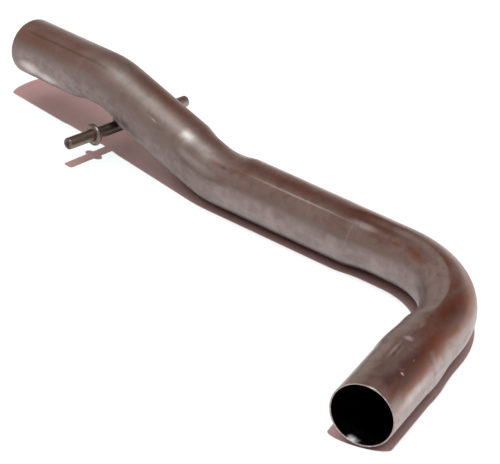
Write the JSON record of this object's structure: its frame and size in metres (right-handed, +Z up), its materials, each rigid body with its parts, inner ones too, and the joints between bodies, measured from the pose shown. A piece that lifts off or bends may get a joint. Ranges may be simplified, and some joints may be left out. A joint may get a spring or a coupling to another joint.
{
  "type": "exhaust pipe",
  "caption": "Press-bent steel exhaust pipe with a slip-on socket at one end, a plain end at the other and a hanger rod welded across its underside.",
  "frame": {"origin": "on the floor that the pipe lies on, under the middle of the whole pipe's box", "axes": "+Z up from the floor, X along the long straight run with the corner bend at +X, socket opening towards -Y"},
  "size_m": [0.7302, 0.3398, 0.0922],
  "materials": {
    "tube": "satin bare steel, slightly tarnished, with brown marks near the socket",
    "rod": "dull dark bare steel",
    "collar": "dull bare steel",
    "weld": "dark weld metal"
  },
  "bodies": {
    "root": {"tube": "tube", "hanger_rod": "rod", "near_collar": "collar", "far_collar": "collar", "hanger_weld": "weld"}
  },
  "joints": []
}
